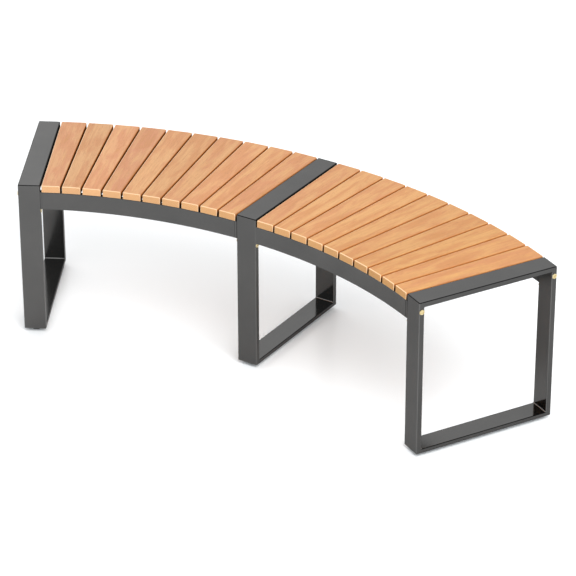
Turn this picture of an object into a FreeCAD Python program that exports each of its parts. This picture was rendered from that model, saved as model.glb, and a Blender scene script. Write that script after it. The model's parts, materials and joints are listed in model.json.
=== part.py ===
import FreeCAD
import Part
import math
import os
import Sketcher

# Curved slatted bench that stands round a tree, in millimetres, +Z up.
# Three closed loops of flat bar carry two bays. A bay has two rolled channel rails and ten tapered
# hardwood slats, which lie on the rails and end flush with them. Every loop stands on two screw-in
# levelling feet.
# The seat follows two arcs about one centre. The inner, concave edge is called the front and looks
# towards -Y. The middle loop stands in the YZ plane and +X is the right-hand end.

DIMENSIONS = {
    # overall
    "seat_height": 450,  # floor to the top of slats and loops
    "seat_depth": 410,  # front edge to back edge, along a radius
    "inner_radius": 1250,  # arc of the front edge
    "bay_angle": 28.6,  # degrees from one loop to the next
    # loops of flat bar, its wide side across the seat's sweep
    "bar_width": 60,
    "bar_thickness": 15,  # legs and top bars
    "base_thickness": 12,  # bottom bars
    "bar_bevel": 2,
    # slats
    "slats_per_bay": 10,
    "slat_thickness": 20,
    "slat_gap": 6,
    "slat_bevel": 3,  # upper edges
    "slat_ease": 1.5,  # lower edges
    # rolled channel rails, open downwards so that the screws of slats and joints can be reached
    "rail_height": 50,
    "rail_wall": 2,
    "rail_bevel": 1.5,
    "plate_thickness": 6,  # plate that closes a rail's end
    # screws that hold the rails to the legs
    "joint_drop": 27,  # seat top to the axis of the joint screws
    "large_thread": 8,
    "large_head": 13,  # across flats
    "large_head_height": 1.5,
    "small_thread": 5,
    "small_head": 8,  # across flats, to go into the channel
    "small_head_height": 3.5,
    "thread_play": 0.1,  # tapped hole over its screw, on the diameter
    "hole_play": 0.6,  # clearance hole over its screw, on the diameter
    "screw_end": 2,  # how far a joint screw stands out of the plate it is tapped into
    "rest_bite": 20,  # length of a rest screw inside its leg
    "hole_end": 0.5,  # room between a screw's tip and the bottom of its blind hole
    "rest_play": 0.3,  # gap between a rest screw's head and the rail above it
    # levelling feet
    "foot_height": 10,  # floor to the loops when a foot is screwed right in
    "foot_inset": 26,  # leg's outer face to the foot's axis
    "foot_play": 0.3,  # pad to the bar above it when screwed right in
    "pad_flats": 24,  # across the hexagon that a spanner turns
    "pad_bevel": 1,
    "pad_socket": 6,  # depth to which the stud is set in its pad
    "stud_diameter": 8,
    "stud_cover": 1.5,  # metal left above the stud's hole
}

FRAMES = {"left": -1, "middle": 0, "right": 1}
BAYS = {"left": -0.5, "right": 0.5}

OUTER_RADIUS = "(dims.inner_radius + dims.seat_depth)"
RAIL_TOP = "(dims.seat_height - dims.slat_thickness)"
RAIL_BOTTOM = f"({RAIL_TOP} - dims.rail_height)"
JOINT_HEIGHT = "(dims.seat_height - dims.joint_drop)"
REST_HEIGHT = f"({RAIL_BOTTOM} - dims.rest_play - dims.large_head / 2)"
LEG_LENGTH = "(dims.seat_height - dims.foot_height)"
LEG_MIDDLE = "((dims.seat_height + dims.foot_height) / 2)"
HALF_BAY = "(dims.bay_angle * 0.5 deg)"
HALF_WIDTH = "(dims.bar_width / 2)"
HALF_THICKNESS = "(dims.bar_thickness / 2)"
RAIL_STOP = f"({HALF_WIDTH} + dims.plate_thickness)"
STUD_HOLE = "(dims.base_thickness - dims.stud_cover)"
PAD_TOP = "(dims.foot_height - dims.foot_play)"

doc = FreeCAD.newDocument("tree_bench")


def make_sheet():
    """The sheet of driving dimensions, one named cell each."""
    sheet = doc.addObject("Spreadsheet::Sheet", "dims")
    for row, (name, value) in enumerate(DIMENSIONS.items(), start=1):
        sheet.set(f"A{row}", name)
        sheet.set(f"B{row}", str(value))
        sheet.setAlias(f"B{row}", name)
    doc.recompute()
    return sheet


sheet = make_sheet()
parts = []


def value_of(expression):
    """A number worked out from the sheet, by the expression that also binds a feature."""
    result = sheet.evalExpression(expression)
    return float(getattr(result, "Value", result))


def new_body(label):
    body = doc.addObject("PartDesign::Body", label)
    body.Label = label
    return body


def add_sketch(body, name, plane, height="0"):
    """A sketch on one of the body's own origin planes, or parallel to it at a height."""
    sketch = body.newObject("Sketcher::SketchObject", f"{body.Name}_{name}")
    support = next(item for item in body.Origin.OriginFeatures if item.Role == plane)
    sketch.AttachmentSupport = (support, [""])
    sketch.MapMode = "FlatFace"
    if height != "0":
        sketch.setExpression("AttachmentOffset.Base.z", height)
    return sketch


def pin_point(sketch, geometry, position, across, along):
    """Tie one point of the sketch to two expressions, measured from the sketch's origin."""
    for kind, expression in (("DistanceX", across), ("DistanceY", along)):
        constraint = Sketcher.Constraint(kind, -1, 1, geometry, position, value_of(expression))
        index = sketch.addConstraint(constraint)
        sketch.setExpression(f"Constraints[{index}]", expression)


def draw_polygon(sketch, points):
    """A closed outline whose corners are pairs of expressions."""
    corners = [FreeCAD.Vector(value_of(across), value_of(along), 0) for across, along in points]
    lines = [
        sketch.addGeometry(Part.LineSegment(start, end), False)
        for start, end in zip(corners, corners[1:] + corners[:1])
    ]
    for line, following in zip(lines, lines[1:] + lines[:1]):
        sketch.addConstraint(Sketcher.Constraint("Coincident", line, 2, following, 1))
    for line, (across, along) in zip(lines, points):
        pin_point(sketch, line, 1, across, along)


def draw_circle(sketch, across, along, diameter):
    centre = FreeCAD.Vector(value_of(across), value_of(along), 0)
    radius = value_of(diameter) / 2
    circle = sketch.addGeometry(Part.Circle(centre, FreeCAD.Vector(0, 0, 1), radius), False)
    pin_point(sketch, circle, 3, across, along)
    index = sketch.addConstraint(Sketcher.Constraint("Diameter", circle, 2 * radius))
    sketch.setExpression(f"Constraints[{index}]", diameter)


def draw_hexagon(sketch, flats, first_corner):
    """A hexagon about the sketch's origin, given across its flats, one corner at an angle in degrees."""
    corner = f"{flats} / sqrt(3)"
    angles = [first_corner + 60 * step for step in range(6)]
    draw_polygon(sketch, [(f"{corner} * cos({a} deg)", f"{corner} * sin({a} deg)") for a in angles])


def add_pad(body, sketch, length, symmetric=False, downward=False):
    pad = body.newObject("PartDesign::Pad", f"{sketch.Name}_pad")
    pad.Profile = sketch
    pad.setExpression("Length", length)
    pad.SideType = "Symmetric" if symmetric else "One side"
    pad.Reversed = downward
    doc.recompute()


def add_pocket(body, sketch, length=None, side=0):
    """Cut the sketch away: to both sides of its plane, or to the one that side gives along its normal."""
    before = body.Shape.Volume
    pocket = body.newObject("PartDesign::Pocket", f"{sketch.Name}_pocket")
    pocket.Profile = sketch
    pocket.SideType = "One side" if side else "Symmetric"
    pocket.Reversed = side > 0
    if length is None:
        pocket.Type = "ThroughAll"
    else:
        pocket.setExpression("Length", length)
    doc.recompute()
    if not body.Shape.Volume < before:
        raise RuntimeError(f"{pocket.Name} removes nothing from {body.Label}")


def add_revolution(body, sketch, angle):
    """Revolve the sketch about its upright axis, half the angle to each side."""
    turned = body.newObject("PartDesign::Revolution", f"{sketch.Name}_turned")
    turned.Profile = sketch
    turned.ReferenceAxis = (sketch, ["V_Axis"])
    turned.setExpression("Angle", angle)
    turned.Midplane = True
    doc.recompute()


def bevel(body, size, wanted):
    """Chamfer the edges of the body's last feature for which wanted(edge) is true."""
    base = body.Tip
    edges = [f"Edge{i}" for i, edge in enumerate(base.Shape.Edges, start=1) if wanted(edge)]
    feature = body.newObject("PartDesign::Chamfer", f"{base.Name}_bevel")
    feature.Base = (base, edges)
    feature.setExpression("Size", size)
    doc.recompute()


def runs_along(edge, axis):
    """Whether the edge is straight and parallel to the axis."""
    if edge.Curve.TypeId != "Part::GeomLine":
        return False
    return abs(edge.tangentAt(edge.FirstParameter).dot(axis)) > 0.9999


def finish_part(item, placement=None):
    if placement is not None:
        item.Placement = placement
    parts.append(item)


def make_group(label, copies):
    """One node that holds several equal pieces, each a link to its master at a placement of its own."""
    links = []
    for number, (master, placement) in enumerate(copies, start=1):
        link = doc.addObject("App::Link", f"{label}_{number}")
        link.LinkedObject = master
        link.Placement = placement
        links.append(link)
    item = doc.addObject("Part::Compound", label)
    item.Label = label
    item.Links = links
    doc.recompute()
    finish_part(item)


X_AXIS = FreeCAD.Vector(1, 0, 0)
Y_AXIS = FreeCAD.Vector(0, 1, 0)
Z_AXIS = FreeCAD.Vector(0, 0, 1)


def axes_placement(position, along, inward):
    """Local X runs along and local Z runs inward, as a loop's bars are drawn."""
    across = inward.cross(along)
    rotation = FreeCAD.Rotation(along, across, inward, "XZY")
    return FreeCAD.Placement(position, rotation)


def turn_about_centre(angle):
    """A turn about the arcs' centre, positive towards the right-hand end, in degrees."""
    return FreeCAD.Placement(FreeCAD.Vector(), FreeCAD.Rotation(Z_AXIS, -angle))


def frame_placement(frame):
    return turn_about_centre(FRAMES[frame] * value_of("dims.bay_angle"))


def leg_placement(frame, leg):
    """Origin at mid height of the leg's outer face, X up and Z into the loop."""
    if leg == "front":
        radius, inward = value_of("dims.inner_radius"), Y_AXIS
    else:
        radius, inward = value_of(OUTER_RADIUS), -Y_AXIS
    position = FreeCAD.Vector(0, radius, value_of(LEG_MIDDLE))
    return frame_placement(frame).multiply(axes_placement(position, Z_AXIS, inward))


def bar_placement(frame, bar):
    """Origin at the middle of the bar's outer face, X along the radius and Z into the loop."""
    if bar == "bottom":
        height, inward = value_of("dims.foot_height"), Z_AXIS
    else:
        height, inward = value_of("dims.seat_height"), -Z_AXIS
    radius = value_of("dims.inner_radius + dims.seat_depth / 2")
    position = FreeCAD.Vector(0, radius, height)
    return frame_placement(frame).multiply(axes_placement(position, Y_AXIS, inward))


def right_hand(leg):
    """Sign of a leg's local Y that points to the bench's right-hand end."""
    return 1 if leg == "front" else -1


def bay_sides(frame):
    """The sides of a loop that carry a bay: -1 is its left, 1 its right."""
    return [(side, hand) for side, hand in ((-1, "left"), (1, "right")) if abs(FRAMES[frame] + side) <= 1]


# Loops of mitred flat bar.
def make_bar(label, length, thickness, first_mitre):
    """A bar mitred at both ends: outer face at local Z 0, open mitres towards +Z.

    A mitre runs back along the bar by the thickness of the bar that it meets. That is first_mitre at the
    end towards -X, and the thickness of legs and top bars at the other end.
    """
    body = new_body(label)
    outline = add_sketch(body, "outline", "XZ_Plane")
    half = f"{length} / 2"
    draw_polygon(
        outline,
        [
            (f"-{half}", "0"),
            (half, "0"),
            (f"{half} - dims.bar_thickness", thickness),
            (f"-{half} + {first_mitre}", thickness),
        ],
    )
    add_pad(body, outline, "dims.bar_width", symmetric=True)
    bevel(body, "dims.bar_bevel", lambda edge: runs_along(edge, X_AXIS))
    return body


def joint_thread(frame):
    return "dims.small_thread" if frame == "middle" else "dims.large_thread"


def make_leg(frame, leg):
    """A leg with a clear hole across it for the joint screw and a blind tapped one for each rest screw."""
    body = make_bar(f"{frame}_{leg}_leg", LEG_LENGTH, "dims.bar_thickness", "dims.base_thickness")
    joint = add_sketch(body, "joint_hole", "XZ_Plane")
    hole = f"{joint_thread(frame)} + dims.hole_play"
    draw_circle(joint, f"{JOINT_HEIGHT} - {LEG_MIDDLE}", HALF_THICKNESS, hole)
    add_pocket(body, joint)
    for side, hand in bay_sides(frame):
        outward = side * right_hand(leg)
        rest = add_sketch(body, f"{hand}_rest_hole", "XZ_Plane", f"{-outward} * {HALF_WIDTH}")
        hole = "dims.large_thread + dims.thread_play"
        draw_circle(rest, f"{REST_HEIGHT} - {LEG_MIDDLE}", HALF_THICKNESS, hole)
        add_pocket(body, rest, length="dims.rest_bite + dims.hole_end", side=outward)
    finish_part(body, leg_placement(frame, leg))


def make_top_bar(frame):
    body = make_bar(f"{frame}_top_bar", "dims.seat_depth", "dims.bar_thickness", "dims.bar_thickness")
    finish_part(body, bar_placement(frame, "top"))


def make_bottom_bar(frame):
    """The thinner lower bar with a blind tapped hole for each foot's stud."""
    label = f"{frame}_bottom_bar"
    body = make_bar(label, "dims.seat_depth", "dims.base_thickness", "dims.bar_thickness")
    holes = add_sketch(body, "stud_holes", "XY_Plane")
    for sign in ("-", ""):
        draw_circle(
            holes,
            f"{sign}(dims.seat_depth / 2 - dims.foot_inset)",
            "0",
            "dims.stud_diameter + dims.thread_play",
        )
    add_pocket(body, holes, length=STUD_HOLE, side=1)
    finish_part(body, bar_placement(frame, "bottom"))


# Rolled rails and the plates on their ends.
def swept_point(radius, sideways, sign):
    """A point in a bay's plan, sideways from the loop that ends the bay on the side of sign."""
    across = f"{radius} * sin({HALF_BAY}) - {sideways} * cos({HALF_BAY})"
    along = f"{radius} * cos({HALF_BAY}) + {sideways} * sin({HALF_BAY})"
    return (f"{sign} * ({across})", along)


def make_rail(bay, rail):
    """A channel rolled to the seat's arc, as deep as the legs, with both ends cut parallel to the loops."""
    body = new_body(f"{bay}_{rail}_rail")
    if rail == "front":
        near, far = "dims.inner_radius", "(dims.inner_radius + dims.bar_thickness)"
    else:
        near, far = f"({OUTER_RADIUS} - dims.bar_thickness)", OUTER_RADIUS
    section = add_sketch(body, "section", "YZ_Plane")
    draw_polygon(
        section,
        [
            (near, RAIL_BOTTOM),
            (f"{near} + dims.rail_wall", RAIL_BOTTOM),
            (f"{near} + dims.rail_wall", f"{RAIL_TOP} - dims.rail_wall"),
            (f"{far} - dims.rail_wall", f"{RAIL_TOP} - dims.rail_wall"),
            (f"{far} - dims.rail_wall", RAIL_BOTTOM),
            (far, RAIL_BOTTOM),
            (far, RAIL_TOP),
            (near, RAIL_TOP),
        ],
    )
    add_revolution(body, section, "dims.bay_angle * 1 deg")
    top = value_of(RAIL_TOP)

    def swept_at_top(edge):
        return edge.Curve.TypeId == "Part::GeomCircle" and edge.BoundBox.ZMin > top - 0.001

    bevel(body, "dims.rail_bevel", swept_at_top)
    for sign, end in ((-1, "left"), (1, "right")):
        cut = add_sketch(body, f"{end}_end", "XY_Plane")
        inside = "(dims.inner_radius - dims.seat_depth)"
        outside = f"({OUTER_RADIUS} + dims.seat_depth)"
        beyond = "-dims.bar_width"
        draw_polygon(
            cut,
            [
                swept_point(inside, RAIL_STOP, sign),
                swept_point(outside, RAIL_STOP, sign),
                swept_point(outside, beyond, sign),
                swept_point(inside, beyond, sign),
            ],
        )
        add_pocket(body, cut)
    finish_part(body, turn_about_centre(BAYS[bay] * value_of("dims.bay_angle")))


def make_end_plate(frame, play):
    """Plate welded into a rail's end, drawn in the leg's axes, with a hole for the loop's joint screw."""
    body = new_body(f"{frame}_end_plate")
    low = f"{RAIL_BOTTOM} - {LEG_MIDDLE}"
    high = f"{RAIL_TOP} - {LEG_MIDDLE}"
    outline = add_sketch(body, "outline", "XZ_Plane")
    draw_polygon(
        outline,
        [(low, "0"), (high, "0"), (high, "dims.bar_thickness"), (low, "dims.bar_thickness")],
    )
    add_pad(body, outline, "dims.plate_thickness", symmetric=True)
    hole = add_sketch(body, "hole", "XZ_Plane")
    diameter = f"{joint_thread(frame)} + dims.{play}"
    draw_circle(hole, f"{JOINT_HEIGHT} - {LEG_MIDDLE}", HALF_THICKNESS, diameter)
    add_pocket(body, hole)
    return body


# Slats.
def slat_spread(radius):
    """Angle that the slats of a bay share out at a radius, with half a gap beyond each end slat."""
    beside_frame = f"({HALF_WIDTH} + dims.slat_gap / 2)"
    return f"(dims.bay_angle * 1 deg - 2 * asin({beside_frame} / {radius}))"


def slat_half_width(radius):
    half_pitch = f"{slat_spread(radius)} / dims.slats_per_bay / 2"
    return f"({radius} * sin({half_pitch}) - dims.slat_gap / 2)"


def make_slat(number, bay, place):
    """A tapered board with its inner end at local Y 0, its length along +Y and its underside at Z 0."""
    body = new_body(f"slat_{number:02d}")
    front = slat_half_width("dims.inner_radius")
    back = slat_half_width(OUTER_RADIUS)
    outline = add_sketch(body, "outline", "XY_Plane")
    draw_polygon(
        outline,
        [
            (f"-{front}", "0"),
            (front, "0"),
            (back, "dims.seat_depth"),
            (f"-{back}", "dims.seat_depth"),
        ],
    )
    add_pad(body, outline, "dims.slat_thickness")
    top = value_of("dims.slat_thickness")
    bevel(body, "dims.slat_bevel", lambda edge: edge.BoundBox.ZMin > top - 0.001)
    bevel(body, "dims.slat_ease", lambda edge: edge.BoundBox.ZMax < 0.001)
    share = (place + 0.5) / value_of("dims.slats_per_bay") - 0.5
    ends = []
    for radius in ("dims.inner_radius", OUTER_RADIUS):
        angle = math.radians(share * value_of(slat_spread(radius)))
        distance = value_of(radius)
        ends.append(
            FreeCAD.Vector(distance * math.sin(angle), distance * math.cos(angle), value_of(RAIL_TOP))
        )
    lie = FreeCAD.Placement(ends[0], FreeCAD.Rotation(Y_AXIS, ends[1] - ends[0]))
    turn = turn_about_centre(BAYS[bay] * value_of("dims.bay_angle"))
    finish_part(body, turn.multiply(lie))


# Screws with hexagonal heads.
def make_screw(label, size, length, first_corner):
    """The head's underside lies at local Z 0, its shank runs to -Z, first_corner turns the hexagon."""
    body = new_body(label)
    head = add_sketch(body, "head", "XY_Plane")
    draw_hexagon(head, f"dims.{size}_head", first_corner)
    add_pad(body, head, f"dims.{size}_head_height")
    shank = add_sketch(body, "shank", "XY_Plane")
    draw_circle(shank, "0", "0", f"dims.{size}_thread")
    add_pad(body, shank, length, downward=True)
    return body


def beside_leg(frame, leg, side, height, sideways):
    """Placement at a height on a leg's middle line, with local Z pointing out of its left or right side."""
    outward = side * right_hand(leg)
    position = FreeCAD.Vector(
        value_of(f"{height} - {LEG_MIDDLE}"), outward * value_of(sideways), value_of(HALF_THICKNESS)
    )
    turn = FreeCAD.Rotation(Z_AXIS, Y_AXIS * outward)
    return leg_placement(frame, leg).multiply(FreeCAD.Placement(position, turn))


# Levelling feet: a hexagonal pad set on a threaded stud that screws into the bottom bar.
def make_foot_pad(label):
    body = new_body(label)
    outline = add_sketch(body, "outline", "XY_Plane")
    draw_hexagon(outline, "dims.pad_flats", 0)
    add_pad(body, outline, PAD_TOP)
    bevel(body, "dims.pad_bevel", lambda edge: edge.BoundBox.ZMax < 0.001)
    socket = add_sketch(body, "socket", "XY_Plane", PAD_TOP)
    draw_circle(socket, "0", "0", "dims.stud_diameter + dims.thread_play")
    add_pocket(body, socket, length="dims.pad_socket", side=-1)
    return body


def make_foot_stud(label):
    stud = doc.addObject("Part::Cylinder", label)
    stud.Label = label
    stud.setExpression("Radius", "dims.stud_diameter / 2")
    stud.setExpression("Height", f"dims.pad_socket + dims.foot_play + {STUD_HOLE} - dims.hole_end")
    doc.recompute()
    return stud


def foot_placement(frame, leg, height):
    """Upright placement on a foot's axis, at a height over the floor."""
    if leg == "front":
        radius = value_of("dims.inner_radius + dims.foot_inset")
    else:
        radius = value_of(f"{OUTER_RADIUS} - dims.foot_inset")
    upright = FreeCAD.Placement(FreeCAD.Vector(0, radius, value_of(height)), FreeCAD.Rotation())
    return frame_placement(frame).multiply(upright)


LEGS = [(frame, leg) for frame in FRAMES for leg in ("front", "back")]
END_LEGS = [(frame, leg) for frame, leg in LEGS if frame != "middle"]
RAIL_ENDS = [(frame, leg, side) for frame, leg in LEGS for side, hand in bay_sides(frame)]

for frame, leg in LEGS:
    make_leg(frame, leg)
for frame in FRAMES:
    make_top_bar(frame)
    make_bottom_bar(frame)

for bay in BAYS:
    for rail in ("front", "back"):
        make_rail(bay, rail)

slats_per_bay = int(value_of("dims.slats_per_bay"))
for bay_index, bay in enumerate(BAYS):
    for place in range(slats_per_bay):
        make_slat(bay_index * slats_per_bay + place + 1, bay, place)

# The middle joint screws pass through the right bay's plates and are tapped into the left bay's.
end_plate = make_end_plate("end", "thread_play")
tapped_plate = make_end_plate("middle", "thread_play")
clear_plate = make_end_plate("middle", "hole_play")
plate_middle = value_of(f"{HALF_WIDTH} + dims.plate_thickness / 2")
plates = {"end": [], "middle": []}
for frame, leg, side in RAIL_ENDS:
    sideways = FreeCAD.Vector(0, side * right_hand(leg) * plate_middle, 0)
    placement = leg_placement(frame, leg).multiply(FreeCAD.Placement(sideways, FreeCAD.Rotation()))
    if frame == "middle":
        plates["middle"].append((clear_plate if side > 0 else tapped_plate, placement))
    else:
        plates["end"].append((end_plate, placement))
make_group("end_rail_plates", plates["end"])
make_group("middle_rail_plates", plates["middle"])

end_screw = make_screw(
    "end_joint_screw", "large", "dims.bar_width + dims.plate_thickness + dims.screw_end", 0
)
middle_screw = make_screw("middle_joint_screw", "small", f"2 * {RAIL_STOP} + dims.screw_end", 0)
rest_screw = make_screw("rest_screw", "large", "dims.rest_bite", 30)
make_group(
    "end_frame_screws",
    [
        (end_screw, beside_leg(frame, leg, FRAMES[frame], JOINT_HEIGHT, HALF_WIDTH))
        for frame, leg in END_LEGS
    ],
)
make_group(
    "middle_frame_screws",
    [
        (middle_screw, beside_leg("middle", leg, 1, JOINT_HEIGHT, RAIL_STOP))
        for leg in ("front", "back")
    ],
)
make_group(
    "rail_rest_screws",
    [
        (rest_screw, beside_leg(frame, leg, side, REST_HEIGHT, HALF_WIDTH))
        for frame, leg, side in RAIL_ENDS
    ],
)

for frame, leg in LEGS:
    finish_part(make_foot_pad(f"{frame}_{leg}_foot_pad"), foot_placement(frame, leg, "0"))
    finish_part(
        make_foot_stud(f"{frame}_{leg}_foot_stud"),
        foot_placement(frame, leg, f"{PAD_TOP} - dims.pad_socket"),
    )

doc.recompute()
for item in doc.Objects:
    if "Invalid" in item.State or "Error" in item.State:
        raise RuntimeError(f"{item.Name} failed: {item.State}")
for item in parts:
    if item.Shape.isNull() or not item.Shape.isValid():
        raise RuntimeError(f"{item.Label} has no valid shape")

# The origin is the middle of the bench's plan, on the floor.
extent = FreeCAD.BoundBox()
for item in parts:
    extent.add(item.Shape.optimalBoundingBox(False, False))
to_origin = FreeCAD.Placement(FreeCAD.Vector(-extent.Center.x, -extent.Center.y, 0), FreeCAD.Rotation())
for item in parts:
    item.Placement = to_origin.multiply(item.Placement)

os.makedirs("parts", exist_ok=True)
for item in parts:
    item.Shape.exportStep(f"parts/{item.Label}.step")
print(f"{len(parts)} parts, {extent.XLength:.2f} x {extent.YLength:.2f} x {extent.ZLength:.2f} mm")
print(f"arc centre at y {-extent.Center.y:.3f}")
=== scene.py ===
import json
import math
import random
from collections import namedtuple

import bmesh
import bpy
from mathutils import Matrix, Vector


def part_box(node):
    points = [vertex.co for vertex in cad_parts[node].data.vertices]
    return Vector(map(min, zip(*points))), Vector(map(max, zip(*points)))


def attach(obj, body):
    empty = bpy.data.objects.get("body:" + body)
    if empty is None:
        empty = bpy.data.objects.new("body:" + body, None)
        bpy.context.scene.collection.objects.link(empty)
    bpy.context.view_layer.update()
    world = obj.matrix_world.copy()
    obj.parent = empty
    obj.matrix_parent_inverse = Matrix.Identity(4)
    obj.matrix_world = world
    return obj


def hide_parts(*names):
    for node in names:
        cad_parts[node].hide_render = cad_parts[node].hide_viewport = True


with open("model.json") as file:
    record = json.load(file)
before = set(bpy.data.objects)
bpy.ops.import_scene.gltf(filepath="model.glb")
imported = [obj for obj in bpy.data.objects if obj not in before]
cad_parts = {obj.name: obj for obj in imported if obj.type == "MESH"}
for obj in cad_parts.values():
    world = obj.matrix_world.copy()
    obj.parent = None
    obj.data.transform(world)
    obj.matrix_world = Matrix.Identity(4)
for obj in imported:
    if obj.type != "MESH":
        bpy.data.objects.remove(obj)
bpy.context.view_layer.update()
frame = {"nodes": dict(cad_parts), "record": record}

# Sizes of the bench, in metres. Both arcs of the seat have their centre in front of it, towards -Y.
INNER_RADIUS = 1.250
SEAT_DEPTH = 0.410
OUTER_RADIUS = INNER_RADIUS + SEAT_DEPTH
BAY_ANGLE = math.radians(28.6)
SEAT_HEIGHT = 0.450
ARC_CENTRE_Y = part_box("middle_front_leg")[0].y - INNER_RADIUS

# Loops of flat bar.
BAR_WIDTH = 0.060
BAR_THICKNESS = 0.015
BASE_THICKNESS = 0.012
BAR_ROUND = 0.0022
WELD_ROUND = 0.0025

# Slats.
SLATS_PER_BAY = 10
SLAT_THICKNESS = 0.020
SLAT_GAP = 0.006
FRAME_GAP = 0.0045  # between a loop and the slat beside it
SLAT_ROUND = 0.0028  # upper edges
SLAT_EASE = 0.0015  # lower edges

# Rails.
RAIL_HEIGHT = 0.050
RAIL_WALL = 0.002
RAIL_ROUND = 0.002
LIP_ROUND = 0.0007
PLATE_THICKNESS = 0.006
RAIL_TOP = SEAT_HEIGHT - SLAT_THICKNESS
RAIL_BOTTOM = RAIL_TOP - RAIL_HEIGHT
RAIL_STOP = BAR_WIDTH / 2 + PLATE_THICKNESS

# Screws: thread, distance across the head's flats, and height of the head.
Screw = namedtuple("Screw", "thread flats head")
LARGE_SCREW = Screw(0.008, 0.013, 0.0015)
SMALL_SCREW = Screw(0.005, 0.008, 0.0035)
JOINT_HEIGHT = SEAT_HEIGHT - 0.027
REST_PLAY = 0.0003  # between a rest screw's head and the rail above it
REST_HEIGHT = RAIL_BOTTOM - REST_PLAY - LARGE_SCREW.flats / 2
REST_BITE = 0.020  # how deep a rest screw goes into its leg
SCREW_END = 0.002  # how far a joint screw stands out of the plate behind it
SCREW_ASIDE = 0.22  # from a slat's middle to its wood screws, as a share of its width

# Feet, with heights above the floor.
FOOT_HEIGHT = 0.010
FOOT_INSET = 0.026  # from a loop's outer face to the foot's axis
PAD_FLATS = 0.024
PAD_TOP = 0.0097
STUD_BOTTOM = 0.0037
STUD_TOP = 0.0200

FRAMES = {"left": -1, "middle": 0, "right": 1}
BAYS = {"left": -0.5, "right": 0.5}
LEGS = {"front": INNER_RADIUS + BAR_THICKNESS / 2, "back": OUTER_RADIUS - BAR_THICKNESS / 2}
BENCH = "bench"
SHARP_ANGLE = math.radians(38)  # edges that turn further stay sharp


# Materials.
class Graph:
    """A node tree with short calls that add nodes to it."""

    def __init__(self, tree):
        self.nodes = tree.nodes
        self.links = tree.links

    def link(self, source, target):
        self.links.new(source, target)

    def fill(self, target, value):
        """Give an input a plain value, or link it to another node's output."""
        if isinstance(value, bpy.types.NodeSocket):
            self.link(value, target)
        elif target.type == "RGBA":
            target.default_value = (*value, 1)
        else:
            target.default_value = value

    def node(self, kind, **settings):
        made = self.nodes.new(f"ShaderNode{kind}")
        for name, value in settings.items():
            setattr(made, name, value)
        return made

    def parts(self, coordinate):
        """The X, Y and Z outputs of a texture coordinate."""
        split = self.node("SeparateXYZ")
        self.link(self.node("TexCoord").outputs[coordinate], split.inputs[0])
        return split.outputs

    def ramp(self, factor, stops):
        """A colour ramp: stops are pairs of position and colour or grey value."""
        made = self.node("ValToRGB")
        elements = made.color_ramp.elements
        while len(elements) < len(stops):
            elements.new(1.0)
        for element, (position, colour) in zip(elements, stops):
            element.position = position
            element.color = (*colour, 1) if isinstance(colour, tuple) else (colour, colour, colour, 1)
        self.link(factor, made.inputs["Fac"])
        return made.outputs["Color"]

    def mix(self, factor, first, second, blend="MIX"):
        made = self.node("Mix", data_type="RGBA", blend_type=blend)
        for name, kind, value in (("Factor", "VALUE", factor), ("A", "RGBA", first), ("B", "RGBA", second)):
            target = next(item for item in made.inputs if item.name == name and item.type == kind)
            self.fill(target, value)
        return next(item for item in made.outputs if item.type == "RGBA")

    def spread(self, value, low, high, start=0.0, end=1.0):
        """A value of start to end spread over low to high."""
        made = self.node("MapRange")
        limits = {"From Min": start, "From Max": end, "To Min": low, "To Max": high}
        for name, limit in limits.items():
            made.inputs[name].default_value = limit
        self.link(value, made.inputs["Value"])
        return made.outputs["Result"]

    def calculate(self, operation, first, second=None):
        made = self.node("Math", operation=operation)
        self.link(first, made.inputs[0])
        if second is not None:
            self.fill(made.inputs[1], second)
        return made.outputs[0]

    def by_ray(self, kind, others, these):
        """One shader for the rays of a kind and another one for all others."""
        choice = self.node("MixShader")
        self.link(self.node("LightPath").outputs[kind], choice.inputs["Fac"])
        self.link(others, choice.inputs[1])
        self.link(these, choice.inputs[2])
        return choice.outputs[0]


class Shader(Graph):
    """A new material with its Principled shader."""

    def __init__(self, name):
        self.material = bpy.data.materials.new(name)
        self.material.use_nodes = True
        super().__init__(self.material.node_tree)
        self.principled = self.nodes["Principled BSDF"]

    def set(self, **values):
        """Give the Principled shader's inputs a value or a link, with _ for a space in their names."""
        for name, value in values.items():
            self.fill(self.principled.inputs[name.replace("_", " ")], value)

    def noise(self, scale, detail=3.0, offset=(0, 0, 0), turn=(0, 0, 0), distortion=0.0):
        """Noise on the object's own coordinates, with a scale in cycles per metre along each axis."""
        made = self.node("TexNoise")
        made.inputs["Scale"].default_value = 1.0
        made.inputs["Detail"].default_value = detail
        made.inputs["Roughness"].default_value = 0.55
        made.inputs["Distortion"].default_value = distortion
        self.link(self.coordinates(scale, offset, turn), made.inputs["Vector"])
        return made.outputs["Fac"]

    def coordinates(self, scale, offset, turn=(0, 0, 0)):
        mapping = self.node("Mapping")
        mapping.inputs["Location"].default_value = offset
        mapping.inputs["Rotation"].default_value = turn
        mapping.inputs["Scale"].default_value = scale
        self.link(self.node("TexCoord").outputs["Object"], mapping.inputs["Vector"])
        return mapping.outputs["Vector"]

    def edge_mask(self, first, second):
        """Near 1 where a surface faces halfway between two axes, given the two parts of its normal."""
        product = self.calculate("MULTIPLY", first, second)
        return self.ramp(self.calculate("ABSOLUTE", product), [(0.10, 0.0), (0.30, 1.0)])

    def bump(self, height, strength, distance, below=None):
        made = self.node("Bump")
        made.inputs["Strength"].default_value = strength
        made.inputs["Distance"].default_value = distance
        self.link(height, made.inputs["Height"])
        if below is not None:
            self.link(below, made.inputs["Normal"])
        return made.outputs["Normal"]


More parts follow.
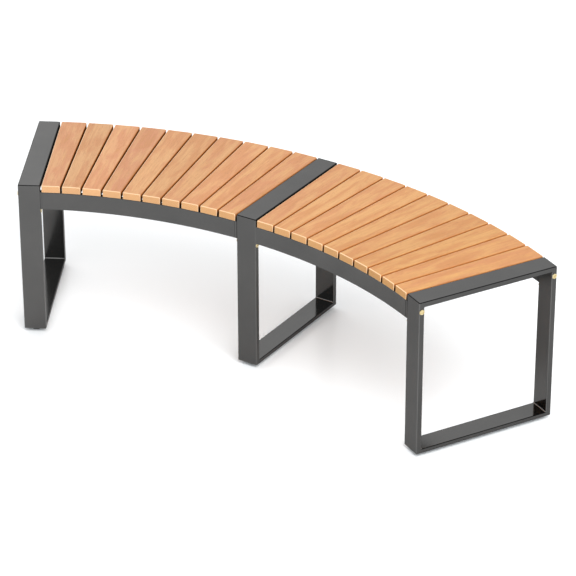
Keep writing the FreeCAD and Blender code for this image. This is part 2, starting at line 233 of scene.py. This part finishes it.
def dark_paint(name, tone, slats_beside=None):
    """Glossy dark grey metallic paint, slightly cloudy, with a faint orange peel.

    For a loop, slats_beside tells by 1 or 0 whether its left and its right side have slats beside them.
    """
    metallic = 0.97
    shader = Shader(name)
    shader.set(Metallic=metallic, IOR=1.5, Specular_Tint=(0.69, 0.69, 0.69))
    peel = shader.noise((420, 420, 420), detail=2)
    flake = shader.noise((2600, 2600, 2600), detail=1)
    cloud = shader.noise((9, 9, 9), detail=4)
    base = shader.ramp(cloud, [(0.3, (0.125, 0.125, 0.124)), (0.7, (0.144, 0.143, 0.141))])
    # tone makes the whole paint lighter or darker: painted light, setting how brightly each copy of the
    # paint looks lit.
    speckle = shader.ramp(flake, [(0.35, 0.93 * tone), (0.65, tone)])
    colour = shader.mix(1.0, base, speckle, blend="MULTIPLY")
    if slats_beside:
        above_rails = shader.spread(shader.parts("Object")["Z"], 0.0, 1.0, RAIL_TOP, RAIL_TOP + 0.003)
        # Painted highlights, dark reflections and shade on the loop's edges and corners, then painted shade
        # on its sides.
        colour = paint_edge_light_and_shade(shader, colour, above_rails)
        colour, painted_gap_shade = shade_sides(shader, colour, above_rails, slats_beside)
        # Where the painted shade of the gaps lies, the paint loses its metal and its reflection, as part of
        # that painted shade.
        shader.set(
            Metallic=shader.spread(painted_gap_shade, metallic, 0.0), Specular_IOR_Level=shader.spread(painted_gap_shade, 0.50, 0.0)
        )
    shader.set(
        Base_Color=colour, Roughness=shader.spread(cloud, 0.10, 0.17), Normal=shader.bump(peel, 0.06, 0.0002)
    )
    return shader.material


def paint_edge_light_and_shade(shader, colour, above_rails):
    """Painted reflections on the edges: a painted dark reflection along level edges, a painted highlight on
    upright ones, and in the inner corners a painted highlight below the rails and painted shade above them.
    """
    painted_upright_highlight = (0.19, 0.19, 0.188)
    # Painted dark reflection along the level edges, also the painted shade in the inner corners above the
    # rails.
    dark = (0.020, 0.020, 0.020)
    painted_weld_highlight = (0.30, 0.30, 0.295)
    normal = shader.parts("Normal")
    colour = shader.mix(shader.edge_mask(normal["X"], normal["Y"]), colour, painted_upright_highlight)
    colour = shader.mix(shader.edge_mask(normal["X"], normal["Z"]), colour, dark)
    painted_corner_highlight_and_shade = shader.mix(above_rails, painted_weld_highlight, dark)
    return shader.mix(shader.edge_mask(normal["Y"], normal["Z"]), colour, painted_corner_highlight_and_shade)


def shade_sides(shader, colour, above_rails, slats_beside):
    """Painted shade on the sides: sides without slats are painted a little darker, and the sides beside the
    slats, above the rails, are painted near black and matte as painted shade in the gaps.
    """
    painted_free_side_shade = 0.86
    rightward = shader.spread(shader.parts("Normal")["X"], 0.0, 1.0, start=-1.0)

    def on_sides(sides, between):
        """A value for the left side, one for the right side and one for all that lies between."""
        left, right = sides
        stops = [(0.0, left), (0.04, left), (0.14, between), (0.86, between), (0.96, right), (1.0, right)]
        return shader.ramp(rightward, stops)

    # Painted shade: sides without slats are a little darker.
    shades = [painted_free_side_shade + (1.0 - painted_free_side_shade) * beside for beside in slats_beside]
    colour = shader.mix(1.0, colour, on_sides(shades, between=1.0), blend="MULTIPLY")
    # Painted shade in the gaps between a loop and its slats, above the rails.
    painted_gap_shade = shader.calculate("MULTIPLY", on_sides(slats_beside, between=0.0), above_rails)
    return shader.mix(painted_gap_shade, colour, (0.010, 0.009, 0.008)), painted_gap_shade


WoodTones = namedtuple("WoodTones", "pale tan pink brown")


def wood_tones(rightward):
    """Colours of the wood, a little yellower rightward from 0 at the first board to 1 at the last."""
    return WoodTones(
        pale=Vector((0.690, 0.392, 0.195)).lerp(Vector((0.645, 0.342, 0.124)), rightward),
        tan=Vector((0.620, 0.312, 0.142)).lerp(Vector((0.585, 0.270, 0.092)), rightward),
        pink=Vector((0.615, 0.272, 0.158)).lerp(Vector((0.560, 0.246, 0.110)), rightward),
        brown=Vector((0.440, 0.180, 0.066)),
    )


def hardwood(number, chance):
    """Oiled hardwood, grain along local Y: each board has its own tone, streaks and run of the grain."""
    shader = Shader(f"hardwood_{number:02d}")
    offset = tuple(chance.uniform(-20, 20) for _ in range(3))
    slope = (0, 0, math.radians(chance.uniform(-1.6, 1.6)))
    warm = chance.uniform(0.0, 1.0)
    light = chance.uniform(0.86, 0.975)
    rightward = (number - 1) / (2 * SLATS_PER_BAY - 1)
    tones = wood_tones(rightward)
    streak = shader.noise((230, 7.0, 230), 5, offset, slope)
    fibre = shader.noise((1100, 26, 1100), 3, offset, slope)
    colour = face_tone(shader, tones, warm, light, offset, slope)
    colour = face_grain(shader, colour, tones, light, streak, fibre)
    pores = shader.ramp(shader.noise((1300, 60, 1300), 2, offset, slope), [(0.30, 0.50), (0.40, 0.0)])
    colour = shader.mix(pores, colour, tuple(tones.brown * 0.55 * light))

    normal = shader.parts("Normal")
    sideways = shader.calculate("ABSOLUTE", normal["X"])
    leftward = shader.calculate("MULTIPLY", normal["X"], -1.0)
    endways = shader.calculate("ABSOLUTE", normal["Y"])
    # Painted highlights on the rounded edges.
    colour = paint_edge_highlights(shader, colour, leftward, endways)
    on_side = shader.ramp(sideways, [(0.88, 0.0), (0.99, 1.0)])
    # Painted shade on the sides, in the gaps between the boards.
    colour = shader.mix(on_side, colour, painted_side_shade(shader))
    on_end = shader.ramp(endways, [(0.88, 0.0), (0.96, 1.0)])
    # The ends are paler than the faces, and as painted shade the ends of the right bay, which face away from
    # the key lamp, are darker.
    end_lightness_and_painted_shade = light * (1.08 - 0.15 * rightward)
    colour = shader.mix(on_end, colour, end_grain(shader, tones, end_lightness_and_painted_shade, offset))

    coarse = shader.bump(streak, 0.10, 0.0004)
    shader.set(
        IOR=1.46,
        Base_Color=colour,
        # The sides lose their specular reflection, as part of the painted shade in the gaps.
        Specular_IOR_Level=shader.spread(on_side, 0.3, 0.0),
        Roughness=shader.spread(fibre, 0.46, 0.62),
        Normal=shader.bump(fibre, 0.16, 0.0002, below=coarse),
    )
    return shader.material


def face_tone(shader, tones, warm, light, offset, slope):
    """Broad bands of the wood's tones, the pinker the warmer the board is."""
    stops = [
        (0.30, tones.tan.lerp(tones.brown, 0.15 + 0.25 * warm)),
        (0.43, tones.tan.lerp(tones.pink, 0.2 + 0.8 * warm)),
        (0.56, tones.pale.lerp(tones.pink, 0.5 * warm)),
        (0.70, tones.pale),
    ]
    bands = shader.noise((44, 8.0, 44), 4, offset, slope, distortion=0.5)
    return shader.ramp(bands, [(position, tuple(tone * light)) for position, tone in stops])


def face_grain(shader, colour, tones, light, streak, fibre):
    """Darker streaks along the grain, and fibres that are lighter and darker."""
    streaks = shader.ramp(streak, [(0.36, 0.0), (0.50, 0.14), (0.66, 0.62)])
    colour = shader.mix(streaks, colour, tuple(tones.tan.lerp(tones.brown, 0.35) * light))
    fibres = shader.ramp(fibre, [(0.25, 0.84), (0.75, 1.06)])
    return shader.mix(1.0, colour, fibres, blend="MULTIPLY")


def paint_edge_highlights(shader, colour, leftward, endways):
    """Painted highlights: the rounded edges at the ends and on the left are painted pale cream."""
    painted_highlight_cream = (0.94, 0.66, 0.41)
    # Painted highlight on the rounded edges at the ends.
    ends = shader.ramp(endways, [(0.15, 0.0), (0.28, 0.80), (0.90, 0.80), (0.97, 0.0)])
    left_edge_highlight = shader.ramp(leftward, [(0.15, 0.0), (0.35, 0.85), (0.80, 0.85), (0.92, 0.0)])
    return shader.mix(left_edge_highlight, shader.mix(ends, colour, painted_highlight_cream), painted_highlight_cream)


def painted_side_shade(shader):
    """Painted shade on the sides in the gaps, darker the deeper down."""
    height = shader.spread(shader.parts("Object")["Z"], 0.0, 1.0, 0.004, SLAT_THICKNESS)
    low, middle, high = (0.020, 0.007, 0.002), (0.180, 0.060, 0.016), (0.540, 0.190, 0.050)
    return shader.ramp(height, [(0.0, low), (0.50, middle), (0.85, high)])


def end_grain(shader, tones, light, offset):
    """Paler than the faces, with growth rings in place of lengthwise streaks."""
    rings = shader.node("TexWave", wave_type="RINGS", rings_direction="Y")
    rings.inputs["Scale"].default_value = 1.0
    rings.inputs["Distortion"].default_value = 5.0
    rings.inputs["Detail"].default_value = 2.0
    shader.link(shader.coordinates((60, 10, 95), offset), rings.inputs["Vector"])
    dark = tuple(tones.pale.lerp(tones.tan, 0.25) * light * 1.02)
    return shader.ramp(rings.outputs["Fac"], [(0.2, dark), (0.7, tuple(tones.pale * light * 1.12))])


def yellow_zinc():
    """Yellow passivated steel: brassy, uneven, with a slight rainbow cast."""
    shader = Shader("yellow_zinc")
    cloud = shader.noise((160, 160, 160))
    grain = shader.noise((1800, 1800, 1800), detail=2)
    colour = shader.ramp(
        cloud, [(0.32, (0.58, 0.44, 0.19)), (0.50, (0.74, 0.60, 0.30)), (0.70, (0.80, 0.70, 0.44))]
    )
    shader.set(Metallic=0.55, IOR=1.6, Base_Color=colour)
    shader.set(Roughness=shader.spread(grain, 0.26, 0.42), Normal=shader.bump(grain, 0.08, 0.0001))
    return shader.material


def bright_zinc():
    """Zinc plated steel of the studs and wood screws."""
    shader = Shader("bright_zinc")
    cloud = shader.noise((260, 260, 260))
    grain = shader.noise((2200, 2200, 2200), detail=2)
    colour = shader.ramp(cloud, [(0.35, (0.46, 0.47, 0.48)), (0.65, (0.60, 0.61, 0.62))])
    shader.set(Metallic=1.0, Base_Color=colour)
    shader.set(Roughness=shader.spread(grain, 0.28, 0.40), Normal=shader.bump(grain, 0.08, 0.0001))
    return shader.material


def black_nylon():
    """Moulded black nylon of the foot pads, with a fine spark-eroded texture and scuffs."""
    shader = Shader("black_nylon")
    spark = shader.noise((1500, 1500, 1500), detail=2)
    scuff = shader.noise((300, 300, 60), detail=4)
    colour = shader.ramp(scuff, [(0.40, (0.012, 0.012, 0.012)), (0.75, (0.034, 0.033, 0.032))])
    shader.set(IOR=1.5, Base_Color=colour)
    shader.set(Roughness=shader.spread(spark, 0.48, 0.66), Normal=shader.bump(spark, 0.25, 0.0001))
    return shader.material


# Mesh helpers.
def add_piece(name, mesh_data, matrix, material, body=BENCH, replaced=()):
    """Make the mesh an object at a matrix in the bench's frame, smooth it and let it ride on its body."""
    mesh = bpy.data.meshes.new(name)
    bmesh.ops.recalc_face_normals(mesh_data, faces=mesh_data.faces)
    for face in mesh_data.faces:
        face.smooth = True
    mesh_data.to_mesh(mesh)
    mesh_data.free()
    mesh.set_sharp_from_angle(angle=SHARP_ANGLE)
    mesh.materials.append(material)
    piece = bpy.data.objects.new(name, mesh)
    piece.matrix_world = matrix
    bpy.context.scene.collection.objects.link(piece)
    weighted = piece.modifiers.new("weighted", "WEIGHTED_NORMAL")
    weighted.keep_sharp = True
    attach(piece, body)
    if replaced:
        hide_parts(*replaced)


def bridge(mesh_data, sections, closed_path=False, closed_section=True, caps=False):
    """Skin a row of equal sections, each a list of points, and close its two ends if caps is true."""
    rows = [[mesh_data.verts.new(point) for point in section] for section in sections]
    pairs = list(zip(rows, rows[1:]))
    if closed_path:
        pairs.append((rows[-1], rows[0]))
    count = len(rows[0])
    for first, second in pairs:
        for i in range(count if closed_section else count - 1):
            j = (i + 1) % count
            mesh_data.faces.new((first[i], first[j], second[j], second[i]))
    if caps:
        mesh_data.faces.new(rows[0])
        mesh_data.faces.new(rows[-1])


def arc_points(centre, radius, start, end, steps):
    """Points of an arc in a plane, from one angle to another in degrees."""
    angles = [math.radians(start + (end - start) * i / steps) for i in range(steps + 1)]
    return [(centre[0] + radius * math.cos(a), centre[1] + radius * math.sin(a)) for a in angles]


def ring_points(count, reach, height, matrix=Matrix()):
    """Points all round the Z axis, whose distance from it and height are functions of their angle."""
    points = []
    for i in range(count):
        angle = 2 * math.pi * i / count
        across = reach(angle)
        points.append(matrix @ Vector((across * math.cos(angle), across * math.sin(angle), height(angle))))
    return points


def rounded_rectangle(width, height, radius):
    """Outline of a rectangle from (0, -height / 2) to (width, height / 2) with rounded corners."""
    half = height / 2
    corners = [
        ((radius, -half + radius), 180),
        ((width - radius, -half + radius), 270),
        ((width - radius, half - radius), 0),
        ((radius, half - radius), 90),
    ]
    outline = []
    for centre, start in corners:
        outline += arc_points(centre, radius, start, start + 90, 5)
    return outline


def swing(angle):
    """Frame of a loop or bay: X to the right across it, Y along its radius from the arcs' centre, Z up."""
    return Matrix.Translation((0, ARC_CENTRE_Y, 0)) @ Matrix.Rotation(-angle, 4, "Z")


# Loops.
def make_loop(name, paint):
    """A closed loop of flat bar with rounded edges, ground outer corners and a weld in each inner one."""
    stations = []
    for side, up, start in ((1, 1, 0), (-1, 1, 90), (-1, -1, 180), (1, -1, 270)):
        radius = OUTER_RADIUS if side > 0 else INNER_RADIUS
        height = SEAT_HEIGHT if up > 0 else FOOT_HEIGHT
        level = BAR_THICKNESS if up > 0 else BASE_THICKNESS
        outer_centre = (radius - side * BAR_ROUND, height - up * BAR_ROUND)
        inner_centre = (
            radius - side * (BAR_THICKNESS + WELD_ROUND),
            height - up * (level + WELD_ROUND),
        )
        outer = arc_points(outer_centre, BAR_ROUND, start, start + 90, 6)
        inner = arc_points(inner_centre, WELD_ROUND, start, start + 90, 6)
        stations += zip(outer, inner)
    section = rounded_rectangle(BAR_THICKNESS, BAR_WIDTH, BAR_ROUND)
    sections = []
    for (outer_y, outer_z), (inner_y, inner_z) in stations:
        points = []
        for depth, across in section:
            share = depth / BAR_THICKNESS
            y = outer_y + (inner_y - outer_y) * share
            z = outer_z + (inner_z - outer_z) * share
            points.append((across, y, z))
        sections.append(points)
    mesh_data = bmesh.new()
    bridge(mesh_data, sections, closed_path=True)
    bars = [f"{name}_{part}" for part in ("front_leg", "back_leg", "top_bar", "bottom_bar")]
    place = swing(FRAMES[name] * BAY_ANGLE)
    add_piece(f"{name}_loop", mesh_data, place, paint, replaced=bars)


# Rails.
def rail_profile(middle):
    """Outline of a channel open downwards, in radius and height, about the radius of its middle."""
    half = BAR_THICKNESS / 2
    inside = half - RAIL_WALL
    shoulder = arc_points((half - RAIL_ROUND, RAIL_TOP - RAIL_ROUND), RAIL_ROUND, 0, 90, 4)
    outer_lip = arc_points((half - LIP_ROUND, RAIL_BOTTOM + LIP_ROUND), LIP_ROUND, -90, 0, 2)
    inner_lip = arc_points((inside + LIP_ROUND, RAIL_BOTTOM + LIP_ROUND), LIP_ROUND, 180, 270, 2)
    right = [(inside, RAIL_TOP - RAIL_WALL)] + inner_lip + outer_lip + shoulder
    left = [(-across, height) for across, height in reversed(right)]
    return [(middle + across, height) for across, height in right + left]


def make_rail(bay, rail, paint):
    """A rolled channel with rounded edges and ends parallel to the loops."""
    profile = rail_profile(LEGS[rail])
    steps = 72
    sections = []
    for i in range(steps + 1):
        points = []
        for radius, height in profile:
            reach = BAY_ANGLE / 2 - math.asin(RAIL_STOP / radius)
            angle = BAYS[bay] * BAY_ANGLE + reach * (2 * i / steps - 1)
            points.append((radius * math.sin(angle), radius * math.cos(angle), height))
        sections.append(points)
    mesh_data = bmesh.new()
    bridge(mesh_data, sections, caps=True)
    node = f"{bay}_{rail}_rail"
    add_piece(f"{node}_channel", mesh_data, swing(0), paint, replaced=[node])


# Slats.
def slat_spread(radius):
    """Angle that the slats of a bay share out at a radius, with half a gap beyond each end slat."""
    return BAY_ANGLE - 2 * math.asin((BAR_WIDTH / 2 + FRAME_GAP - SLAT_GAP / 2) / radius)


def slat_half_width(radius):
    return radius * math.sin(slat_spread(radius) / SLATS_PER_BAY / 2) - SLAT_GAP / 2


def slat_share(place):
    """Where a slat's middle lies in its bay, from -0.5 to 0.5."""
    return (place + 0.5) / SLATS_PER_BAY - 0.5


def slat_matrix(bay, place):
    """Matrix of a slat: its front end's middle at the origin, Y along the slat, Z up from its underside."""
    ends = []
    for radius in (INNER_RADIUS, OUTER_RADIUS):
        angle = slat_share(place) * slat_spread(radius)
        ends.append(Vector((radius * math.sin(angle), radius * math.cos(angle), RAIL_TOP)))
    along = (ends[1] - ends[0]).normalized()
    turn = Matrix.Rotation(math.atan2(-along.x, along.y), 4, "Z")
    return swing(BAYS[bay] * BAY_ANGLE) @ Matrix.Translation(ends[0]) @ turn


def slat_corners():
    """Points round a slat's section: side, height of the corner's centre, its radius, and a unit offset."""
    outline = []
    for side, high, start in ((1, True, 0), (-1, True, 90), (-1, False, 180), (1, False, 270)):
        radius = SLAT_ROUND if high else SLAT_EASE
        height = SLAT_THICKNESS - radius if high else radius
        for across, up in arc_points((0, 0), 1, start, start + 90, 5):
            outline.append((side, height, radius, across, up))
    return outline


def make_slat(number, bay, place, chance):
    """A tapered board with rounded upper edges and eased lower ones."""
    front, back = slat_half_width(INNER_RADIUS), slat_half_width(OUTER_RADIUS)
    end_share = 0.86  # size of the rounding at the ends, as a share of the edge's own
    steps = 5
    turns = [math.radians(90 * i / steps) for i in range(steps + 1)]
    stations = [(False, turn) for turn in turns] + [(True, turn) for turn in reversed(turns)]
    sections = []
    for at_back, turn in stations:
        points = []
        for side, height, radius, across, up in slat_corners():
            end_round = radius * end_share
            y = end_round * (1 - math.cos(turn))
            if at_back:
                y = SEAT_DEPTH - y
            half = front + (back - front) * y / SEAT_DEPTH
            reach = radius - end_round * (1 - math.sin(turn))
            points.append((side * (half - radius) + reach * across, y, height + reach * up))
        sections.append(points)
    mesh_data = bmesh.new()
    bridge(mesh_data, sections, caps=True)
    wood = hardwood(number, chance)
    name = f"{number:02d}"
    matrix = slat_matrix(bay, place)
    add_piece(f"board_{name}", mesh_data, matrix, wood, replaced=[f"slat_{name}"])


# Screws, each drawn with its axis along Z, the head above Z 0 and the shank below it.
def lathe(mesh_data, profile, matrix=Matrix()):
    """A closed turned solid from radii and heights, the first and last on the axis."""
    count = 24
    low = mesh_data.verts.new(matrix @ Vector((0, 0, profile[0][1])))
    high = mesh_data.verts.new(matrix @ Vector((0, 0, profile[-1][1])))
    rings = []
    for radius, height in profile[1:-1]:
        points = ring_points(count, lambda angle: radius, lambda angle: height, matrix)
        rings.append([mesh_data.verts.new(point) for point in points])
    for i in range(count):
        j = (i + 1) % count
        mesh_data.faces.new((low, rings[0][j], rings[0][i]))
        mesh_data.faces.new((high, rings[-1][i], rings[-1][j]))
        for first, second in zip(rings, rings[1:]):
            mesh_data.faces.new((first[i], first[j], second[j], second[i]))


def hexagon_reach(flats, angle):
    """Distance from a hexagon's middle to its outline, with a corner at angle 0."""
    return flats / 2 / math.cos(angle % (math.pi / 3) - math.pi / 6)


def add_hex_head(mesh_data, screw, matrix, turn):
    """A hexagonal head with the corners of its top turned down to a cone."""
    around, levels = 60, 6
    slope = math.tan(math.radians(60))
    top_radius = screw.flats * 0.475
    sections = []
    for level in range(levels + 1):
        z = screw.head * level / levels
        cone = top_radius + (screw.head - z) * slope

        def reach(angle):
            return min(hexagon_reach(screw.flats, angle - turn), cone)

        sections.append(ring_points(around, reach, lambda angle: z, matrix))
    bridge(mesh_data, sections, caps=True)


def add_shank(mesh_data, screw, length, matrix):
    """A shank down to its chamfered tip."""
    radius = screw.thread / 2
    tip = radius * 0.2
    profile = [(0, -length), (radius - tip, -length), (radius, tip - length), (radius, 0), (0, 0)]
    lathe(mesh_data, profile, matrix)


def beside_leg(frame_name, leg, side, height, sideways):
    """Matrix at a height on a leg's middle line, Z pointing out of its left or right side, X up."""
    axes = Matrix(((0, 0, side), (0, -side, 0), (1, 0, 0))).to_4x4()
    placed = Matrix.Translation((side * sideways, LEGS[leg], height)) @ axes
    return swing(FRAMES[frame_name] * BAY_ANGLE) @ placed


def make_hex_screws(kind, places, screw, length, material, turn=0.0):
    """All the hexagonal screws of one kind, with their heads turned by an angle."""
    mesh_data = bmesh.new()
    for place in places:
        add_hex_head(mesh_data, screw, place, turn)
        add_shank(mesh_data, screw, length, place)
    name = f"{kind}_hex_screws"
    add_piece(name, mesh_data, Matrix(), material, replaced=[f"{kind}_screws"])


def make_frame_screws(material):
    """Joint screws of the end loops and of the middle one, and the rests under the rails' ends."""
    half_width = BAR_WIDTH / 2
    end_joints = [
        beside_leg(name, leg, FRAMES[name], JOINT_HEIGHT, half_width)
        for name in ("left", "right")
        for leg in LEGS
    ]
    middle_joints = [beside_leg("middle", leg, 1, JOINT_HEIGHT, RAIL_STOP) for leg in LEGS]
    rests = [
        beside_leg(name, leg, side, REST_HEIGHT, half_width)
        for name, place in FRAMES.items()
        for leg in LEGS
        for side in (-1, 1)
        if abs(place + side) <= 1
    ]
    end_length = BAR_WIDTH + PLATE_THICKNESS + SCREW_END
    middle_length = 2 * RAIL_STOP + SCREW_END
    make_hex_screws("end_frame", end_joints, LARGE_SCREW, end_length, material)
    make_hex_screws("middle_frame", middle_joints, SMALL_SCREW, middle_length, material)
    make_hex_screws("rail_rest", rests, LARGE_SCREW, REST_BITE, material, turn=math.pi / 6)


def add_cross_head(mesh_data, matrix):
    """A pan head with a cross recess, drawn upright: the recess is pressed into the rings of its dome."""
    around, radius, height = 48, 0.0040, 0.0024
    recess_depth, arm_width, arm_reach, core_reach = 0.0014, 0.0011, 0.62, 0.3
    # Shares of the radius and of the height.
    dome = [(1.0, 0.0), (1.0, 0.35), (0.93, 0.62), (0.80, 0.82)]
    dome += [(0.62, 0.94), (0.50, 0.98), (0.36, 1.0), (0.14, 1.0)]
    sections = []
    for share, rise in dome:
        across = share * radius

        def level(angle):
            in_arm = abs(math.sin(2 * angle)) * across < arm_width and share <= arm_reach
            return rise * height - (recess_depth if in_arm or share < core_reach else 0.0)

        sections.append(ring_points(around, lambda angle: across, level, matrix))
    bridge(mesh_data, sections, caps=True)


def make_wood_screws(bay, rail, material):
    """Heads of the two screws that hold each slat to a rail, on the underside of the rail's web."""
    mesh_data = bmesh.new()
    upside_down = Matrix.Rotation(math.pi, 4, "X")
    for place in range(SLATS_PER_BAY):
        for aside in (-SCREW_ASIDE, SCREW_ASIDE):
            share = slat_share(place) + aside / SLATS_PER_BAY
            angle = share * slat_spread(LEGS[rail]) + BAYS[bay] * BAY_ANGLE
            under = swing(angle) @ Matrix.Translation((0, LEGS[rail], RAIL_TOP - RAIL_WALL))
            last_turn = place * 0.7 + aside * 5  # no two screws beside each other stop alike
            spin = Matrix.Rotation(last_turn, 4, "Z")
            add_cross_head(mesh_data, under @ upside_down @ spin)
    add_piece(f"{bay}_{rail}_wood_screws", mesh_data, Matrix(), material)


# Feet.
def foot_matrix(frame_name, leg):
    radius = INNER_RADIUS + FOOT_INSET if leg == "front" else OUTER_RADIUS - FOOT_INSET
    return swing(FRAMES[frame_name] * BAY_ANGLE) @ Matrix.Translation((0, radius, 0))


def make_foot_pad(name, matrix, material):
    """A hexagonal pad with an eased lower edge and a washer face on top."""
    around, no_limit = 72, 1.0
    # Height, growth of the hexagon, and the radius that it is turned down to.
    levels = [
        (0.0, -0.0010, no_limit),
        (0.0004, -0.0003, no_limit),
        (0.0010, 0.0, no_limit),
        (0.0072, 0.0, no_limit),
        (0.0080, 0.0, 0.0128),
        (0.0084, 0.0, 0.0121),
        (0.0086, -0.0004, 0.0114),
        (0.0088, 0.0, 0.0100),
        (PAD_TOP, 0.0, 0.0096),
    ]
    sections = []
    for z, growth, limit in levels:

        def reach(angle):
            return min(hexagon_reach(PAD_FLATS, angle) + growth, limit)

        sections.append(ring_points(around, reach, lambda angle: z))
    mesh_data = bmesh.new()
    bridge(mesh_data, sections, caps=True)
    add_piece(f"{name}_pad_moulded", mesh_data, matrix, material, name, [f"{name}_pad"])


def make_foot_stud(name, matrix, material):
    """A stud with its thread as a ridge that winds round a core."""
    crest, root, pitch = 0.0040, 0.0034, 0.00125
    # Share of the pitch and radius, up the ridge from one turn to the next.
    ridge = ((0.0, root), (0.25, root), (0.50, crest), (0.62, crest), (1.0, root))
    per_turn = 24
    steps = int((STUD_TOP - STUD_BOTTOM) / pitch * per_turn)
    sections = []
    for i in range(-per_turn, steps + 1):
        angle = 2 * math.pi * i / per_turn
        points = []
        for rise, reach in ridge:
            z = STUD_BOTTOM + (i / per_turn + rise) * pitch
            z = min(max(z, STUD_BOTTOM), STUD_TOP)
            points.append((reach * math.cos(angle), reach * math.sin(angle), z))
        sections.append(points)
    mesh_data = bmesh.new()
    bridge(mesh_data, sections, closed_section=False)
    bmesh.ops.remove_doubles(mesh_data, verts=mesh_data.verts, dist=0.000001)
    lathe(mesh_data, [(0, STUD_BOTTOM), (root, STUD_BOTTOM), (root, STUD_TOP), (0, STUD_TOP)])
    add_piece(f"{name}_stud_threaded", mesh_data, matrix, material, name, [f"{name}_stud"])


# The bench.
def paint_nodes(finishes):
    """Give the nodes that stay as they are the material of their slot."""
    for entry in frame["record"]["subparts"]:
        if entry["material_slot"] in finishes:
            materials = frame["nodes"][entry["node"]].data.materials
            materials.clear()
            materials.append(finishes[entry["material_slot"]])


def make_bench():
    """All pieces of the bench, in the order of its making from the loops to the screws."""
    # Copies of one paint whose tones are painted light: the left loop and the rails are painted lighter than
    # the middle and right loops.
    loop_paint = {
        "left": dark_paint("left_loop_paint", 1.14, (0.0, 1.0)),
        "middle": dark_paint("middle_loop_paint", 1.02, (1.0, 1.0)),
        "right": dark_paint("right_loop_paint", 1.0, (1.0, 0.0)),
    }
    rail_paint = dark_paint("rail_paint", 1.04)
    brassy = yellow_zinc()
    zinc = bright_zinc()
    nylon = black_nylon()
    for name in FRAMES:
        make_loop(name, loop_paint[name])
        for leg in LEGS:
            foot = f"{name}_{leg}_foot"
            make_foot_pad(foot, foot_matrix(name, leg), nylon)
            make_foot_stud(foot, foot_matrix(name, leg), zinc)
    for bay in BAYS:
        for rail in LEGS:
            make_rail(bay, rail, rail_paint)
    chance = random.Random(7)
    for bay_index, bay in enumerate(BAYS):
        for place in range(SLATS_PER_BAY):
            make_slat(bay_index * SLATS_PER_BAY + place + 1, bay, place, chance)
    make_frame_screws(brassy)
    for bay in BAYS:
        for rail in LEGS:
            make_wood_screws(bay, rail, zinc)
    paint_nodes({"frame_paint": rail_paint, "screws": brassy, "foot_pads": nylon, "foot_studs": zinc})


# Floor, light and camera.
def make_floor():
    """A large white floor with a faint gloss, which throws little light back at the bench."""
    shader = Shader("floor")
    shader.set(Base_Color=(0.970, 0.984, 0.995), Roughness=0.22, IOR=1.3)
    shader.set(Emission_Color=(0.82, 0.94, 1.0), Emission_Strength=0.09)
    dull = shader.node("BsdfDiffuse")
    shader.fill(dull.inputs["Color"], (0.62, 0.62, 0.62))
    surface = shader.by_ray("Is Camera Ray", dull.outputs[0], shader.principled.outputs[0])
    shader.link(surface, shader.nodes["Material Output"].inputs["Surface"])
    mesh_data = bmesh.new()
    bmesh.ops.create_circle(mesh_data, cap_ends=True, segments=96, radius=14)
    mesh = bpy.data.meshes.new("floor")
    mesh_data.to_mesh(mesh)
    mesh_data.free()
    mesh.materials.append(shader.material)
    floor = bpy.data.objects.new("floor", mesh)
    bpy.context.scene.collection.objects.link(floor)


def make_world():
    """Even white light; polished metal sees a bright horizon under a ceiling that hangs lower in front."""
    world = bpy.data.worlds.new("studio")
    bpy.context.scene.world = world
    world.use_nodes = True
    world.node_tree.nodes.clear()
    graph = Graph(world.node_tree)

    def background(colour, strength):
        made = graph.node("Background")
        graph.fill(made.inputs["Color"], colour)
        graph.fill(made.inputs["Strength"], strength)
        return made.outputs[0]

    horizon, low_ceiling, ceiling = 1.05, 0.55, 0.65
    direction = graph.parts("Generated")
    front_stops = [(0.36, horizon), (0.40, low_ceiling), (0.56, low_ceiling), (0.60, ceiling)]
    front = graph.ramp(direction["Z"], front_stops)
    around = graph.ramp(direction["Z"], [(0.54, horizon), (0.60, ceiling)])
    seen = graph.mix(graph.spread(direction["Y"], 0.0, 1.0, -0.5, -0.3), front, around)
    brighter_left = graph.spread(direction["X"], 1.18, 1.0, -0.58, -0.49)
    white = (1.0, 1.0, 1.0)
    lit = graph.by_ray("Is Glossy Ray", background(white, 0.80), background(seen, brighter_left))
    surface = graph.by_ray("Is Camera Ray", lit, background(white, 1.0))
    graph.link(surface, graph.node("OutputWorld").inputs["Surface"])


def add_lamp(name, azimuth, elevation, distance, size, power):
    """A square soft lamp that looks at the seat from a direction in degrees."""
    data = bpy.data.lights.new(name, "AREA")
    data.size = size
    data.energy = power
    lamp = bpy.data.objects.new(name, data)
    a, e = math.radians(azimuth), math.radians(elevation)
    back = Vector((math.sin(a) * math.cos(e), -math.cos(a) * math.cos(e), math.sin(e)))
    lamp.location = Vector((0, 0, SEAT_HEIGHT)) + back * distance
    lamp.rotation_mode = "QUATERNION"
    lamp.rotation_quaternion = (-back).to_track_quat("-Z", "Y")
    lamp.visible_glossy = False
    bpy.context.scene.collection.objects.link(lamp)


def make_camera():
    """The photograph's view, found from the bench's own edges and measured from the arcs' centre."""
    data = bpy.data.cameras.new("camera")
    data.sensor_width = 36
    data.lens = 183.264
    camera = bpy.data.objects.new("camera", data)
    camera.location = (3.78817, ARC_CENTRE_Y - 4.49436, 3.93400)
    camera.rotation_euler = (math.radians(61.762), math.radians(0.098), math.radians(32.433))
    bpy.context.scene.collection.objects.link(camera)
    bpy.context.scene.camera = camera


make_bench()
make_floor()
make_world()
add_lamp("key", azimuth=50, elevation=45, distance=4.5, size=3.2, power=180)
add_lamp("rim", azimuth=-130, elevation=45, distance=4.5, size=3.2, power=44)
make_camera()
bpy.context.scene.view_settings.view_transform = "Standard"
